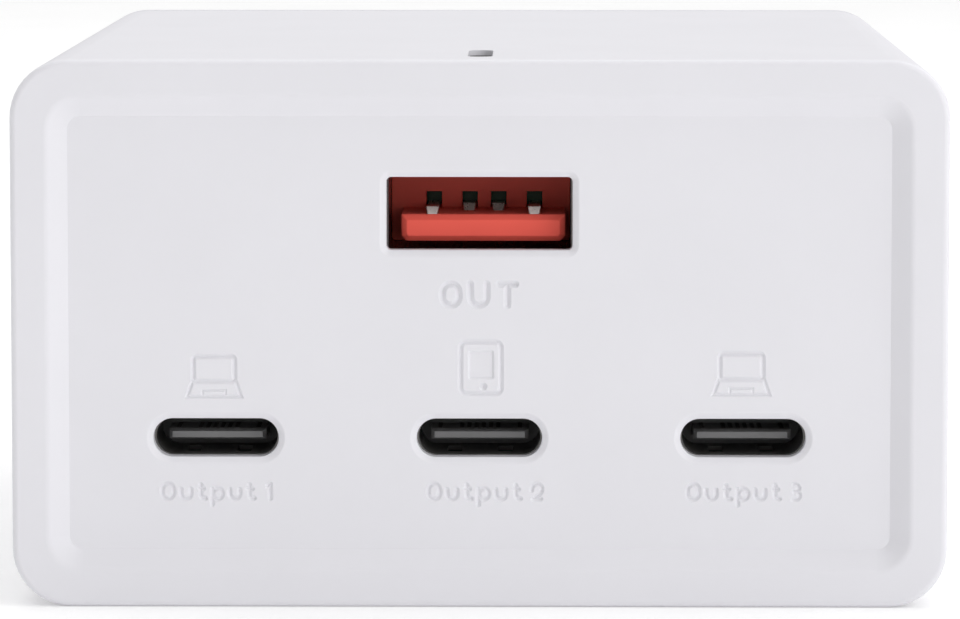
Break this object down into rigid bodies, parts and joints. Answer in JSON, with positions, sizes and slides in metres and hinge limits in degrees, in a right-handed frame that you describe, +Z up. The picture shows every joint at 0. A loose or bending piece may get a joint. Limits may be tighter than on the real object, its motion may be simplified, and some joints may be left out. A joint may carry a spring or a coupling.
{
  "type": "usb charger",
  "caption": "Box-shaped mains wall charger with a sunk front panel of charging sockets, a status light slot on top and flat plug blades at the back.",
  "frame": {"origin": "centre of the flat base face, halfway between the front rim and the rear face of the body", "axes": "+X to the right seen from the front, +Y from the sockets to the plug blades, +Z up"},
  "size_m": [0.064, 0.0975, 0.0375],
  "materials": {
    "casing_white": "satin",
    "plug_metal": "polished",
    "lead_copper": "satin",
    "light_window": "gloss",
    "led_resin": "gloss",
    "shell_steel": "satin",
    "shell_black": "matte",
    "insulator_red": "satin",
    "insulator_black": "matte",
    "contact_gold": "polished",
    "contact_dark": "matte",
    "board_green": "satin",
    "header_black": "matte",
    "spreader_metal": "satin",
    "sheet_film": "satin",
    "pad_grey": "matte",
    "ferrite": "matte",
    "bobbin_black": "satin",
    "winding_tape": "satin",
    "choke_wire": "gloss",
    "can_sleeve": "satin",
    "can_metal": "satin",
    "capacitor_yellow": "gloss",
    "capacitor_blue": "gloss",
    "component_black": "matte",
    "component_grey": "matte"
  },
  "bodies": {
    "root": {"casing": "casing_white", "front_panel": "casing_white", "rear_cover": "casing_white", "live_blade": "plug_metal", "neutral_blade": "plug_metal", "live_lead": "lead_copper", "neutral_lead": "lead_copper", "light_pipe": "light_window", "status_led": "led_resin", "usb_a_shell": "shell_steel", "usb_a_insulator": "insulator_red", "usb_a_contacts": "contact_gold", "port_board": "board_green", "main_board": "board_green", "board_header": "header_black", "heat_spreader": "spreader_metal", "insulation_sheet": "sheet_film", "thermal_pad": "pad_grey", "transformer_core": "ferrite", "transformer_bobbin": "bobbin_black", "transformer_winding": "winding_tape", "bulk_capacitors": "can_sleeve", "output_capacitors": "can_metal", "output_inductors": "component_grey", "choke_core": "ferrite", "choke_windings": "choke_wire", "x_capacitor": "capacitor_yellow", "y_capacitor": "capacitor_blue", "fuse": "component_black", "bridge_rectifier": "component_black", "optocoupler": "component_black", "power_switch": "component_black", "sync_rectifier": "component_black", "port_controllers": "component_black", "usb_c1_shell": "shell_black", "usb_c1_tongue": "insulator_black", "usb_c1_contacts": "contact_dark", "usb_c2_shell": "shell_black", "usb_c2_tongue": "insulator_black", "usb_c2_contacts": "contact_dark", "usb_c3_shell": "shell_black", "usb_c3_tongue": "insulator_black", "usb_c3_contacts": "contact_dark"}
  },
  "joints": []
}
